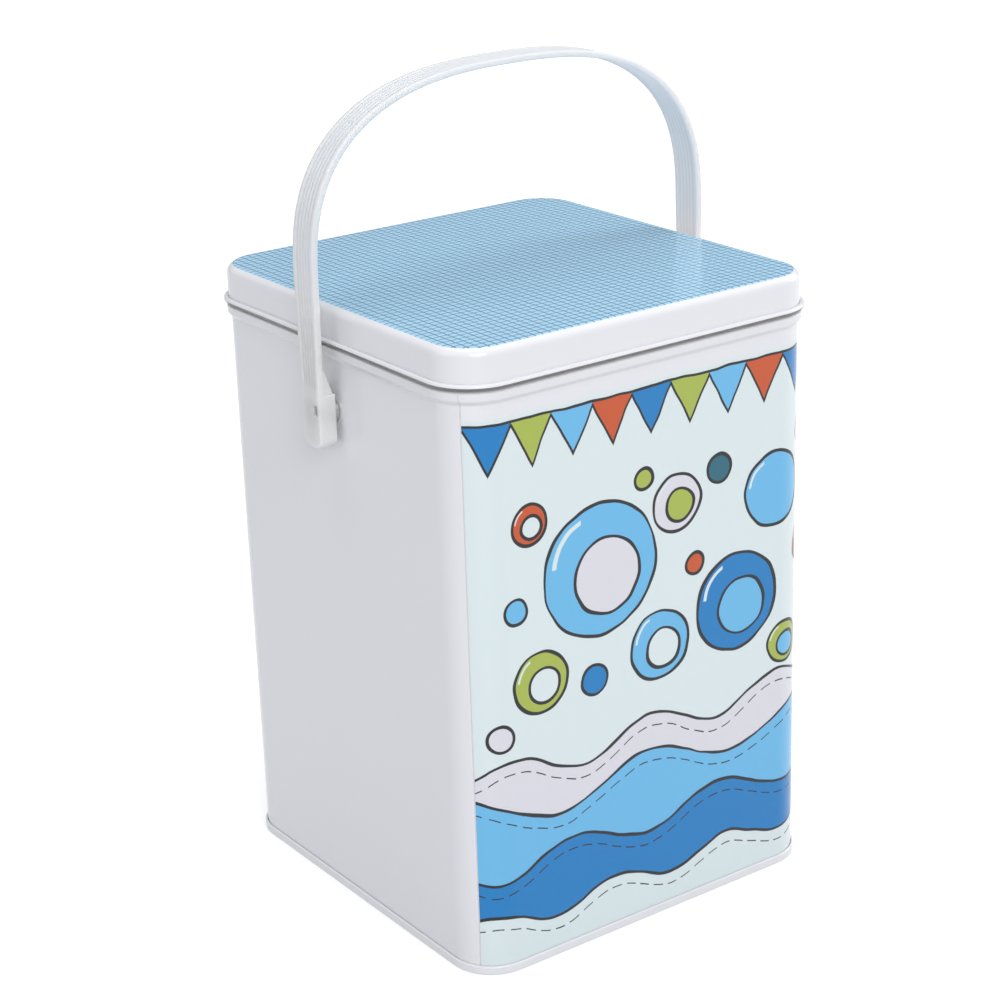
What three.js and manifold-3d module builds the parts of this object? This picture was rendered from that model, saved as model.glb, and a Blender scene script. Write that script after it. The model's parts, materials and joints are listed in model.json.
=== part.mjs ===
// A square laundry powder tin of folded tinplate, with a slip lid and a moulded strap handle.
// Millimetres, +Z up. The origin is the centre of the footprint, on the surface that the tin stands on.
// -Y is the printed front, and the handle swings about the X axis.
import * as THREE from "three";
import { mergeVertices } from "three/addons/utils/BufferGeometryUtils.js";
import Module from "manifold-3d";

const wasm = await Module();
wasm.setup();

// The tin as a whole: its walls' outer faces, and its height with the lid on.
const TIN_WIDTH = 190;
const TIN_DEPTH = 195;
const TIN_HEIGHT = 284.5;
const CORNER_RADIUS = 20;
const SHEET = 0.3;

// The space left between two pieces that touch.
const SEAT_GAP = 0.3;

// The lid: a pressed panel with a rounded shoulder, a skirt and an outward curl at its raw edge.
const LID_DEPTH = 16.8;
const LID_LOOSENESS = 0.4;
const LID_SHOULDER = 4;
const LID_CURL_RADIUS = 1.25;
const LID_CURL_TURN = THREE.MathUtils.degToRad(270);

// The bead rolled in the wall that the lid's edge comes down to, and the rim curled in under the lid.
const BEAD_REACH = 1.9;
const BEAD_HEIGHT = 7;
const BEAD_TOP_SLOPE = 1.4;
const BEAD_FOOT_SLOPE = 3;
const RIM_CURL_RADIUS = 1.2;
const RIM_CURL_TURN = THREE.MathUtils.degToRad(270);

// The side seam: one edge of the sheet laps inside the other, half way round the front left corner.
const SEAM_LAP = 5;
const SEAM_ANGLE = THREE.MathUtils.degToRad(219.5);
const SEAM_END_CLEARANCE = 2;

// The bottom end: a recessed panel whose edge is rolled round the hook at the foot of the wall.
const BASE_RECESS = 4.5;
const BASE_BEND_RADIUS = 1.2;
const ROLLED_SEAM_HEIGHT = 4;
const HOOK_SPARE = 0.4;

// The handle: a ribbed strap bent in an arch, with a thick boss at each end.
const PIVOT_BELOW_BEAD = 22.4;
const STRAIGHT_LEG_ABOVE_LID = 12.5;
const ARCH_RISE = 81;
const ARCH_FULLNESS = 2.58;
const STRAP_WIDTH = 16;
const STRAP_THICKNESS = 3.1;
const STRAP_RIM = 2.2;
const STRAP_EDGE_CHAMFER = 0.5;
const RIB_COUNT = 4;
const RIB_WIDTH = 0.9;
const RIB_HEIGHT = 0.5;
const BOSS_WIDTH = 14;
const BOSS_THICKNESS = 8.5;
const BOSS_STANDOFF = 2.5;
const BOSS_BELOW_SOCKET = 10;
const BOSS_ABOVE_SOCKET = 4;
const BOSS_TAPER_HEIGHT = 14;
const BOSS_CORNER_RADIUS = 4.5;
const BOSS_EDGE_RADIUS = 0.6;

// The socket in each boss, and the small window that opens it through the outer face.
const SOCKET_WALL = 2;
const SOCKET_LIP = 1.6;
const SOCKET_END_WALL = 2;
const WINDOW_WIDTH = 2.8;
const WINDOW_HEIGHT = 4.4;
const WINDOW_OFFSET = 3.8;
const WINDOW_RISE = 2.2;

// The stud that is riveted through the wall on each side, and the washer behind the wall.
const HEAD_CLEARANCE = 1;
const HEAD_END_PLAY = 1.3;
const HEAD_OVERHANG = 1.2;
const HEAD_CHAMFER = 0.8;
const NECK_CLEARANCE = 0.4;
const SHANK_RADIUS = 3;
const COLLAR_OVERHANG = 3;
const RIVET_OVERHANG = 1.6;
const RIVET_THICKNESS = 1.5;
const WASHER_OVERHANG = 5;
const WASHER_THICKNESS = 0.8;

// How far a cut runs past the face that it opens.
const CUT_OVERRUN = 0.5;

// How finely round forms are cut.
const CORNER_STEPS = 6;
const BEND_STEP = THREE.MathUtils.degToRad(30);
const SLOPE_STEPS = 3;
const ARCH_STEPS = 30;
const LEG_STEPS = 3;
const TURN_STEPS = 20;

// Places worked out from the sizes above.
const lidBottom = TIN_HEIGHT - LID_DEPTH;
const lidSkirt = SEAT_GAP + LID_LOOSENESS + SHEET;
const rimInset = LID_SHOULDER - lidSkirt - RIM_CURL_RADIUS;
const rimReach = LID_SHOULDER - SHEET - SEAT_GAP - RIM_CURL_RADIUS;
const rimTop = TIN_HEIGHT - LID_SHOULDER + Math.sqrt(rimReach ** 2 - rimInset ** 2) + RIM_CURL_RADIUS;
const beadTop = lidBottom - SEAT_GAP;
const beadBottom = beadTop - BEAD_HEIGHT;
const pivotHeight = beadBottom - PIVOT_BELOW_BEAD;
const archStart = TIN_HEIGHT + STRAIGHT_LEG_ABOVE_LID - pivotHeight;
const bossInner = TIN_WIDTH / 2 + BOSS_STANDOFF;
const bossOuter = bossInner + BOSS_THICKNESS;
const socketRadius = BOSS_WIDTH / 2 - SOCKET_WALL;
const bossTop = socketRadius + BOSS_ABOVE_SOCKET;
const bossBottom = -(socketRadius + BOSS_BELOW_SOCKET);
const headRadius = socketRadius - HEAD_CLEARANCE;
const neckRadius = headRadius - HEAD_OVERHANG;

const tinplate = new THREE.MeshStandardMaterial({ color: 0xe9eaee, roughness: 0.22, metalness: 0.1 });
const lidPlate = new THREE.MeshStandardMaterial({ color: 0x9fcbe8, roughness: 0.25, metalness: 0.1 });
const moulded = new THREE.MeshStandardMaterial({ color: 0xe6e7ea, roughness: 0.4, metalness: 0 });
const steel = new THREE.MeshStandardMaterial({ color: 0x9a9a98, roughness: 0.35, metalness: 1 });

// A closed three.js geometry as a solid that can be joined and cut.
function solid(geometry) {
  const bare = new THREE.BufferGeometry();
  bare.setAttribute("position", geometry.getAttribute("position"));
  if (geometry.index) bare.setIndex(geometry.index);
  const merged = mergeVertices(bare, 1e-4);
  return new wasm.Manifold(
    new wasm.Mesh({
      numProp: 3,
      vertProperties: merged.attributes.position.array,
      triVerts: new Uint32Array(merged.index.array),
    }),
  );
}

function geometryOf(made) {
  const mesh = made.getMesh();
  return new THREE.BufferGeometry()
    .setAttribute("position", new THREE.BufferAttribute(mesh.vertProperties, 3))
    .setIndex(new THREE.BufferAttribute(mesh.triVerts, 1));
}

// Rings of equally many points, one after another, joined by faces into a closed body.
// Seen with the rings running anticlockwise from above, the section runs anticlockwise too.
// An open section has its first and last ring filled; a closed one joins the last ring to the first.
function skin(rings, closed) {
  const count = rings[0].length;
  const positions = rings.flat().flatMap((p) => [p.x, p.y, p.z]);
  const faces = [];
  const spans = closed ? rings.length : rings.length - 1;
  for (let i = 0; i < spans; i++) {
    const here = i * count;
    const next = ((i + 1) % rings.length) * count;
    for (let j = 0; j < count; j++) {
      const k = (j + 1) % count;
      faces.push(here + j, here + k, next + k);
      faces.push(here + j, next + k, next + j);
    }
  }
  if (!closed) {
    fill(rings[0], 0, faces, true);
    fill(rings.at(-1), (rings.length - 1) * count, faces, false);
  }
  return new THREE.BufferGeometry()
    .setAttribute("position", new THREE.Float32BufferAttribute(positions, 3))
    .setIndex(faces);
}

// Fills a flat ring with faces. A first ring faces back along the body, and a last one forward.
function fill(ring, start, faces, isFirst) {
  const along = new THREE.Vector3();
  const centre = ring.reduce((sum, p) => sum.add(p), new THREE.Vector3()).divideScalar(ring.length);
  ring.forEach((p, i) => {
    const q = ring[(i + 1) % ring.length];
    along.add(p.clone().sub(centre).cross(q.clone().sub(centre)));
  });
  along.normalize();
  const across = ring[1].clone().sub(ring[0]).normalize();
  const up = along.clone().cross(across);
  const flat = ring.map((p) => new THREE.Vector2(p.dot(across), p.dot(up)));
  for (const [a, b, c] of THREE.ShapeUtils.triangulateShape(flat, [])) {
    const turn = flat[b].clone().sub(flat[a]).cross(flat[c].clone().sub(flat[a]));
    const forward = turn > 0 ? [a, b, c] : [a, c, b];
    faces.push(...(isFirst ? forward.reverse() : forward).map((v) => v + start));
  }
}

// A rounded rectangle round the tin, standing out from the wall's outer face by out, at height z.
function wallRing(out, z) {
  const radius = CORNER_RADIUS + out;
  const ring = [];
  for (let corner = 0; corner < 4; corner++) {
    const sideX = corner === 0 || corner === 3 ? 1 : -1;
    const sideY = corner < 2 ? 1 : -1;
    for (let step = 0; step <= CORNER_STEPS; step++) {
      const angle = ((corner + step / CORNER_STEPS) * Math.PI) / 2;
      ring.push(
        new THREE.Vector3(
          sideX * (TIN_WIDTH / 2 - CORNER_RADIUS) + radius * Math.cos(angle),
          sideY * (TIN_DEPTH / 2 - CORNER_RADIUS) + radius * Math.sin(angle),
          z,
        ),
      );
    }
  }
  return ring;
}

// The points of a path, with its bends cut in steps of much the same turn.
function pointsAlong(path) {
  const points = [];
  for (const curve of path.curves) {
    const turn = curve.isEllipseCurve ? Math.abs(curve.aEndAngle - curve.aStartAngle) : 0;
    const steps = curve.isLineCurve ? 1 : Math.ceil(turn / BEND_STEP) || SLOPE_STEPS;
    points.push(...curve.getPoints(steps));
  }
  return points.filter((p, i) => i === 0 || p.distanceTo(points[i - 1]) > 1e-6);
}

// The section of a folded sheet: a path along one face, and the other face one sheet away on the given side.
function sheetSection(path, side) {
  const points = pointsAlong(path);
  const normal = (from, to) => new THREE.Vector2(from.y - to.y, to.x - from.x).normalize();
  const far = points.map((p, i) => {
    const before = i > 0 ? normal(points[i - 1], p) : normal(p, points[i + 1]);
    const after = i < points.length - 1 ? normal(p, points[i + 1]) : before;
    const mitre = before.clone().add(after).normalize();
    return p.clone().addScaledVector(mitre, (side * SHEET) / mitre.dot(before));
  });
  return [...points, ...far.reverse()];
}

// A section swept round the tin. Its points are (distance out from the wall, height).
function sweepRound(section, closed) {
  const ordered = THREE.ShapeUtils.area(section) > 0 ? section : [...section].reverse();
  return skin(
    ordered.map((p) => wallRing(p.x, p.y)),
    closed,
  );
}

// A flat outline in Y and Z, given thickness along X from the given place.
function extrudeAlongX(outline, fromX, thickness, edgeRadius = 0) {
  const geometry = new THREE.ExtrudeGeometry(outline, {
    depth: thickness - 2 * edgeRadius,
    curveSegments: CORNER_STEPS,
    bevelEnabled: edgeRadius > 0,
    bevelThickness: edgeRadius,
    bevelSize: edgeRadius,
    bevelOffset: -edgeRadius,
    bevelSegments: 2,
  });
  const turn = new THREE.Matrix4().makeBasis(
    new THREE.Vector3(0, 1, 0),
    new THREE.Vector3(0, 0, 1),
    new THREE.Vector3(1, 0, 0),
  );
  return geometry.applyMatrix4(turn).translate(fromX + edgeRadius, 0, 0);
}

// A round bar along X.
function barAlongX(radius, fromX, toX) {
  const bar = new THREE.CylinderGeometry(radius, radius, toX - fromX, TURN_STEPS);
  return bar.rotateZ(Math.PI / 2).translate((fromX + toX) / 2, 0, 0);
}

// The wall: a hook folded up at its foot, a bead under the lid and a rim curled in at the top.
function wallGeometry() {
  const hookBottom = 2 * SHEET + 1.5 * SEAT_GAP;
  const hookTop = ROLLED_SEAM_HEIGHT - SHEET - SEAT_GAP - HOOK_SPARE;
  const path = new THREE.Path();
  path.moveTo(SEAT_GAP, hookTop);
  path.lineTo(SEAT_GAP, hookBottom);
  path.absarc(SEAT_GAP / 2, hookBottom, SEAT_GAP / 2, 0, -Math.PI, true);
  path.lineTo(0, beadBottom);
  const footMiddle = beadBottom + BEAD_FOOT_SLOPE / 2;
  path.bezierCurveTo(0, footMiddle, BEAD_REACH, footMiddle, BEAD_REACH, beadBottom + BEAD_FOOT_SLOPE);
  path.lineTo(BEAD_REACH, beadTop - BEAD_TOP_SLOPE);
  const topMiddle = beadTop - BEAD_TOP_SLOPE / 2;
  path.bezierCurveTo(BEAD_REACH, topMiddle, 0, topMiddle, 0, beadTop);
  path.lineTo(0, rimTop - RIM_CURL_RADIUS);
  path.absarc(-RIM_CURL_RADIUS, rimTop - RIM_CURL_RADIUS, RIM_CURL_RADIUS, 0, RIM_CURL_TURN, false);
  const wall = solid(sweepRound(sheetSection(path, 1), true));

  const holeRadius = SHANK_RADIUS + SEAT_GAP;
  const across = TIN_WIDTH / 2 + SHEET;
  const holes = solid(barAlongX(holeRadius, -across, across).translate(0, 0, pivotHeight));
  return geometryOf(wall.add(solid(lapGeometry())).subtract(holes));
}

// The inner edge of the sheet where it laps behind the outer one at the side seam.
function lapGeometry() {
  const centreX = -(TIN_WIDTH / 2 - CORNER_RADIUS);
  const centreY = -(TIN_DEPTH / 2 - CORNER_RADIUS);
  const facetMiddle = CORNER_RADIUS * Math.cos(Math.PI / (4 * CORNER_STEPS));
  const outerRadius = facetMiddle - SHEET / 3;
  const innerRadius = CORNER_RADIUS - 2 * SHEET;
  const turn = SEAM_LAP / innerRadius;
  const outline = new THREE.Shape();
  outline.absarc(centreX, centreY, outerRadius, SEAM_ANGLE, SEAM_ANGLE + turn, false);
  outline.absarc(centreX, centreY, innerRadius, SEAM_ANGLE + turn, SEAM_ANGLE, true);
  const foot = BASE_RECESS + SHEET + SEAM_END_CLEARANCE;
  const head = beadBottom - SEAM_END_CLEARANCE;
  return new THREE.ExtrudeGeometry(outline, {
    depth: head - foot,
    curveSegments: CORNER_STEPS,
    bevelEnabled: false,
  }).translate(0, 0, foot);
}

// The bottom end: its panel, the wall that stands inside the tin and the edge rolled round the hook.
function bottomEndGeometry() {
  const inside = -(2 * SHEET + SEAT_GAP);
  const outside = 2 * (SHEET + SEAT_GAP);
  const bend = BASE_BEND_RADIUS;
  const edge = SHEET + SEAT_GAP;
  const path = new THREE.Path();
  path.moveTo(inside - bend, BASE_RECESS);
  path.absarc(inside - bend, BASE_RECESS - bend, bend, Math.PI / 2, 0, true);
  path.absarc(inside + edge, edge, edge, Math.PI, 1.5 * Math.PI, false);
  path.absarc(outside - edge, edge, edge, 1.5 * Math.PI, 2 * Math.PI, false);
  path.absarc(outside - edge, ROLLED_SEAM_HEIGHT - edge, edge, 0, Math.PI / 2, false);
  path.lineTo(SEAT_GAP, ROLLED_SEAM_HEIGHT);
  return sweepRound(sheetSection(path, 1), false);
}

// The lid, with its height counted from the underside of its curl.
function lidGeometry() {
  const inCurl = LID_CURL_RADIUS - SHEET;
  const path = new THREE.Path();
  path.moveTo(lidSkirt - LID_SHOULDER, LID_DEPTH);
  path.absarc(lidSkirt - LID_SHOULDER, LID_DEPTH - LID_SHOULDER, LID_SHOULDER, Math.PI / 2, 0, true);
  path.absarc(lidSkirt + inCurl, LID_CURL_RADIUS, inCurl, Math.PI, Math.PI + LID_CURL_TURN, false);
  return sweepRound(sheetSection(path, -1), false);
}

// The strap's section as (across the width, out from the outer face), anticlockwise.
// Both faces have a raised rim at each edge, and the outer face has ribs between its rims.
function strapSection() {
  const half = STRAP_WIDTH / 2;
  const chamfer = STRAP_EDGE_CHAMFER;
  const floor = -STRAP_THICKNESS;
  const bed = half - STRAP_RIM;
  const outline = [
    [-half, floor + chamfer],
    [-half + chamfer, floor],
    [-bed, floor],
    [-bed + RIB_HEIGHT, floor + RIB_HEIGHT],
    [bed - RIB_HEIGHT, floor + RIB_HEIGHT],
    [bed, floor],
    [half - chamfer, floor],
    [half, floor + chamfer],
    [half, -chamfer],
    [half - chamfer, 0],
    [bed, 0],
    [bed - RIB_HEIGHT / 2, -RIB_HEIGHT],
  ];
  const pitch = (2 * bed) / (RIB_COUNT + 1);
  for (let rib = RIB_COUNT; rib >= 1; rib--) {
    const middle = -bed + rib * pitch;
    const foot = RIB_WIDTH / 2;
    const crest = RIB_WIDTH / 4;
    outline.push([middle + foot, -RIB_HEIGHT], [middle + crest, 0], [middle - crest, 0], [middle - foot, -RIB_HEIGHT]);
  }
  outline.push([-bed + RIB_HEIGHT / 2, -RIB_HEIGHT], [-bed, 0], [-half + chamfer, 0], [-half, -chamfer]);
  return outline;
}

// Where the strap's outer face runs, from the right boss over the arch to the left one.
// Heights count from the pivot, and each place has the direction that its outer face looks in.
function strapPlaces() {
  const places = [];
  const legBottom = bossTop - BOSS_EDGE_RADIUS;
  const leg = (sideX, step) => ({
    x: sideX * bossOuter,
    z: THREE.MathUtils.lerp(legBottom, archStart, step / LEG_STEPS),
    lookX: sideX,
    lookZ: 0,
    width: THREE.MathUtils.lerp(BOSS_WIDTH, STRAP_WIDTH, step / LEG_STEPS) / STRAP_WIDTH,
  });
  for (let step = 0; step <= LEG_STEPS; step++) places.push(leg(1, step));
  for (let step = 1; step < ARCH_STEPS; step++) {
    const angle = (step / ARCH_STEPS) * Math.PI;
    const shareX = Math.sign(Math.cos(angle)) * Math.abs(Math.cos(angle)) ** (2 / ARCH_FULLNESS);
    const shareZ = Math.sin(angle) ** (2 / ARCH_FULLNESS);
    const slopeX = (Math.sign(shareX) * Math.abs(shareX) ** (ARCH_FULLNESS - 1)) / bossOuter;
    const slopeZ = shareZ ** (ARCH_FULLNESS - 1) / ARCH_RISE;
    const length = Math.hypot(slopeX, slopeZ);
    places.push({
      x: bossOuter * shareX,
      z: archStart + ARCH_RISE * shareZ,
      lookX: slopeX / length,
      lookZ: slopeZ / length,
      width: 1,
    });
  }
  for (let step = LEG_STEPS; step >= 0; step--) places.push(leg(-1, step));
  return places;
}

function strapGeometry() {
  const section = strapSection();
  const rings = strapPlaces().map((place) =>
    section.map(
      ([across, out]) =>
        new THREE.Vector3(place.x + place.lookX * out, -across * place.width, place.z + place.lookZ * out),
    ),
  );
  return skin(rings, false);
}

// The boss at the handle's right end, with its socket and window. Heights count from the pivot.
function bossParts() {
  const half = BOSS_WIDTH / 2;
  const corner = Math.min(BOSS_CORNER_RADIUS, half - BOSS_EDGE_RADIUS);
  const tongue = new THREE.Shape();
  tongue.moveTo(half, bossTop);
  tongue.lineTo(-half, bossTop);
  tongue.absarc(-half + corner, bossBottom + corner, corner, Math.PI, 1.5 * Math.PI, false);
  tongue.absarc(half - corner, bossBottom + corner, corner, 1.5 * Math.PI, 2 * Math.PI, false);
  const block = solid(extrudeAlongX(tongue, bossInner, BOSS_THICKNESS, BOSS_EDGE_RADIUS));

  // Above the block the boss thins out to the strap's thickness.
  const behindRibs = bossOuter - 2 * RIB_HEIGHT;
  const strapInner = bossOuter - STRAP_THICKNESS + RIB_HEIGHT;
  const taper = new THREE.Shape();
  taper.moveTo(bossInner + BOSS_EDGE_RADIUS, 0);
  taper.lineTo(behindRibs, 0);
  taper.lineTo(behindRibs, bossTop + BOSS_TAPER_HEIGHT);
  taper.lineTo(strapInner, bossTop + BOSS_TAPER_HEIGHT);
  taper.lineTo(bossInner + BOSS_EDGE_RADIUS, bossTop - BOSS_EDGE_RADIUS);
  const taperWidth = BOSS_WIDTH - 2 * BOSS_EDGE_RADIUS;
  const wedge = new THREE.ExtrudeGeometry(taper, { depth: taperWidth, bevelEnabled: false })
    .rotateX(Math.PI / 2)
    .translate(0, taperWidth / 2, 0);

  const lipEnd = bossInner + SOCKET_LIP;
  const socketEnd = bossOuter - SOCKET_END_WALL;
  const mouth = barAlongX(neckRadius + NECK_CLEARANCE, bossInner - CUT_OVERRUN, lipEnd + CUT_OVERRUN);
  const socket = barAlongX(socketRadius, lipEnd, socketEnd);
  const windowDepth = SOCKET_END_WALL + 2 * CUT_OVERRUN;
  const window = new THREE.BoxGeometry(windowDepth, WINDOW_WIDTH, WINDOW_HEIGHT).translate(
    bossOuter + CUT_OVERRUN - windowDepth / 2,
    WINDOW_OFFSET,
    WINDOW_RISE,
  );
  return {
    body: block.add(solid(wedge)),
    cuts: solid(mouth).add(solid(socket)).add(solid(window)),
  };
}

// The whole handle. Its two ends are alike when it is turned half round.
function handleGeometry() {
  const halfTurn = new THREE.Matrix4().makeRotationZ(Math.PI);
  const turned = (made) => solid(geometryOf(made).applyMatrix4(halfTurn));
  const { body, cuts } = bossParts();
  const strap = solid(strapGeometry());
  return geometryOf(strap.add(body).add(turned(body)).subtract(cuts).subtract(turned(cuts)));
}

// A stud, turned about its own axis. Distances along it count outwards from the wall's outer face.
function studGeometry() {
  const rivetFace = -(SHEET + WASHER_THICKNESS + 2 * SEAT_GAP);
  const rivetRadius = SHANK_RADIUS + RIVET_OVERHANG;
  const collarRadius = SHANK_RADIUS + COLLAR_OVERHANG;
  const collarStart = SEAT_GAP;
  const collarEnd = BOSS_STANDOFF - SEAT_GAP;
  const headStart = BOSS_STANDOFF + SOCKET_LIP + SEAT_GAP;
  const headEnd = BOSS_STANDOFF + BOSS_THICKNESS - SOCKET_END_WALL - HEAD_END_PLAY;
  const profile = [
    [0, rivetFace - RIVET_THICKNESS],
    [rivetRadius / 2, rivetFace - RIVET_THICKNESS],
    [rivetRadius, rivetFace - RIVET_THICKNESS / 2],
    [rivetRadius, rivetFace],
    [SHANK_RADIUS, rivetFace],
    [SHANK_RADIUS, collarStart],
    [collarRadius, collarStart],
    [collarRadius, collarEnd],
    [neckRadius, collarEnd],
    [neckRadius, headStart],
    [headRadius, headStart],
    [headRadius, headEnd - HEAD_CHAMFER],
    [headRadius - HEAD_CHAMFER, headEnd],
    [0, headEnd],
  ];
  return new THREE.LatheGeometry(
    profile.map(([radius, along]) => new THREE.Vector2(radius, along)),
    TURN_STEPS,
  );
}

function washerGeometry() {
  const face = -(SHEET + SEAT_GAP);
  const back = face - WASHER_THICKNESS;
  const bore = SHANK_RADIUS + SEAT_GAP;
  const profile = [
    [bore, back],
    [SHANK_RADIUS + WASHER_OVERHANG, back],
    [SHANK_RADIUS + WASHER_OVERHANG, face],
    [bore, face],
    [bore, back],
  ];
  return new THREE.LatheGeometry(
    profile.map(([radius, along]) => new THREE.Vector2(radius, along)),
    TURN_STEPS,
  );
}

function named(name, geometry, material) {
  const mesh = new THREE.Mesh(geometry, material);
  mesh.name = name;
  return mesh;
}

const tin = new THREE.Group();
tin.add(named("body_wall", wallGeometry(), tinplate));
tin.add(named("bottom_end", bottomEndGeometry(), tinplate));

const lid = named("lid", lidGeometry(), lidPlate);
lid.position.z = lidBottom;
tin.add(lid);

const handle = named("handle", handleGeometry(), moulded);
handle.position.z = pivotHeight;
tin.add(handle);

// A stud and its washer stand on each side wall, with their own axis turned to point outwards.
for (const [side, direction] of [
  ["left", -1],
  ["right", 1],
]) {
  const fastening = new THREE.Group();
  fastening.position.set((direction * TIN_WIDTH) / 2, 0, pivotHeight);
  fastening.rotation.z = (-direction * Math.PI) / 2;
  fastening.add(named(`stud_${side}`, studGeometry(), steel));
  fastening.add(named(`stud_washer_${side}`, washerGeometry(), steel));
  tin.add(fastening);
}

export default tin;
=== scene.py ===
"""The looks of a printed laundry powder tin: lacquered tinplate, a slip lid and a moulded strap handle."""

import json
from math import ceil, cos, degrees, hypot, pi, radians, sin

import bpy
from mathutils import Matrix, Vector


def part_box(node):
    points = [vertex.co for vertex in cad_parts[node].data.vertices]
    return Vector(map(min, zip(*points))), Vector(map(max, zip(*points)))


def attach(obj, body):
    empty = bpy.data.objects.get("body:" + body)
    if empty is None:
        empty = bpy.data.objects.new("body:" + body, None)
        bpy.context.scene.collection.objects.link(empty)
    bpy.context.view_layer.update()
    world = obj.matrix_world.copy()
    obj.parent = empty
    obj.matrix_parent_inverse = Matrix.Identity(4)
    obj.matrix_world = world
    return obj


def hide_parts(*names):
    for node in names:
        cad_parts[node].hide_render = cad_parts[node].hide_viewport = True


bl_info = {
    "name": "Laundry powder tin",
    "version": (1, 0, 0),
    "blender": (4, 5, 0),
    "location": "View3D > Sidebar > Tin",
    "description": "Models and dresses a printed tin with a slip lid and a strap handle",
    "category": "Add Mesh",
}

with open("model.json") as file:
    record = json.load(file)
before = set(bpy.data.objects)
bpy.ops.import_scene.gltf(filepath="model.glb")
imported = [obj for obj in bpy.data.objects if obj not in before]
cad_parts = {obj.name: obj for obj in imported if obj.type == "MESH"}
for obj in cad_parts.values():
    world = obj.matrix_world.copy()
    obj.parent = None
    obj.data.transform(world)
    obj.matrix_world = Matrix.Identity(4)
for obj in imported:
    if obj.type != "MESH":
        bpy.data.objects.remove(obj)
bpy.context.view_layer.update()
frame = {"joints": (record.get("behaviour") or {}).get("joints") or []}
_, wall_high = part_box("body_wall")
lid_low, lid_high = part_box("lid")
_, handle_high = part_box("handle")
PIVOT = Vector(next(j["pos_m"] for j in frame["joints"] if j["name"] == "handle_swing"))
MM = 0.001

# Two places this near are the same place, and open edges this near are welded.
HAIR = 0.001 * MM
WELD = 0.02 * MM

# The thickness of a printed film, and how far a cutter runs past what it cuts.
FILM = 0.06 * MM
OVERRUN = 0.5 * MM


def length(name, about, default):
    """A size in metres that shows in the sidebar."""
    return bpy.props.FloatProperty(
        name=name, description=about, default=default, subtype="DISTANCE", unit="LENGTH", precision=5
    )


def colour(name, about, default):
    """A colour, red, green and blue, that shows in the sidebar."""
    return bpy.props.FloatVectorProperty(
        name=name, description=about, default=default, subtype="COLOR", size=3, min=0.0, max=1.0
    )


class TinSizes(bpy.types.PropertyGroup):
    """Sizes of the folded sheet: the wall, the lid and the bottom."""

    sheet: length("Sheet", "Thickness of the tinplate", 0.3 * MM)
    gap: length("Gap", "Space between pieces that touch", 0.3 * MM)
    corner: length("Corner radius", "Radius of the wall's upright corners", 20 * MM)
    bead_reach: length("Bead reach", "How far the wall's bead stands out", 1.9 * MM)
    bead_height: length("Bead height", "Height of the wall's bead", 7 * MM)
    bead_top: length("Bead top", "Height of the bead's upper slope", 1.4 * MM)
    bead_foot: length("Bead foot", "Height of the bead's lower slope", 3 * MM)
    rim_curl: length("Rim curl", "Radius of the rim curled in under the lid", 1.2 * MM)
    shoulder: length("Lid shoulder", "Radius of the lid's shoulder", 4 * MM)
    lid_slack: length("Lid slack", "How loosely the lid's skirt fits the wall, past the gap", 0.4 * MM)
    lid_curl: length("Lid curl", "Radius of the curl at the lid's edge", 1.25 * MM)
    recess: length("Base recess", "How far the bottom panel stands above the floor", 4.5 * MM)
    base_bend: length("Base bend", "Radius where the bottom panel turns down", 1.2 * MM)
    seam_height: length("Rolled seam", "Height of the rolled seam round the bottom", 4 * MM)
    hook_spare: length("Hook spare", "Space above the wall's hook in the rolled seam", 0.4 * MM)
    lap: length("Side seam lap", "How far one edge of the sheet runs behind the other", 5 * MM)


class HandleSizes(bpy.types.PropertyGroup):
    """Sizes of the moulded handle and its studs."""

    width: length("Strap width", "Width of the strap", 16 * MM)
    thickness: length("Strap thickness", "Thickness of the strap at its rims", 3.1 * MM)
    rib: length("Rib height", "How far the ribs and rims stand up", 0.5 * MM)
    straight: length("Straight leg", "Straight part of each leg above the lid", 12.5 * MM)
    boss_width: length("Boss width", "Width of the boss at each end", 14 * MM)
    boss_thickness: length("Boss thickness", "Thickness of each boss", 8.5 * MM)
    boss_top: length("Boss top", "Full thickness of the boss above the pivot", 9 * MM)
    boss_bottom: length("Boss bottom", "Boss below the pivot", 15 * MM)
    boss_taper: length("Boss taper", "Height over which the boss thins to the strap", 14 * MM)
    boss_corner: length("Boss corner", "Radius of the boss's lower corners", 4.5 * MM)
    boss_edge: length("Boss edge", "Radius of the boss's other edges", 0.6 * MM)
    socket: length("Socket", "Radius of the socket in the boss", 5 * MM)
    lip: length("Socket lip", "Thickness of the lip at the socket's mouth", 1.6 * MM)
    end_wall: length("End wall", "Boss wall behind the socket", 2 * MM)
    head: length("Stud head", "Radius of the stud's head", 4 * MM)
    neck: length("Stud neck", "Radius of the stud's neck", 2.8 * MM)
    neck_play: length("Neck play", "Space round the stud's neck", 0.4 * MM)
    head_play: length("Head play", "Space past the stud's head", 1.3 * MM)
    shank: length("Stud shank", "Radius of the stud where it passes the wall", 3 * MM)
    collar: length("Stud collar", "Radius of the stud's collar", 6 * MM)
    rivet: length("Rivet", "Radius of the stud's inner head", 4.6 * MM)
    rivet_height: length("Rivet height", "Thickness of the stud's inner head", 1.5 * MM)
    washer: length("Washer", "Radius of the washer behind the wall", 8 * MM)
    washer_height: length("Washer thickness", "Thickness of the washer", 0.8 * MM)


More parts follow.
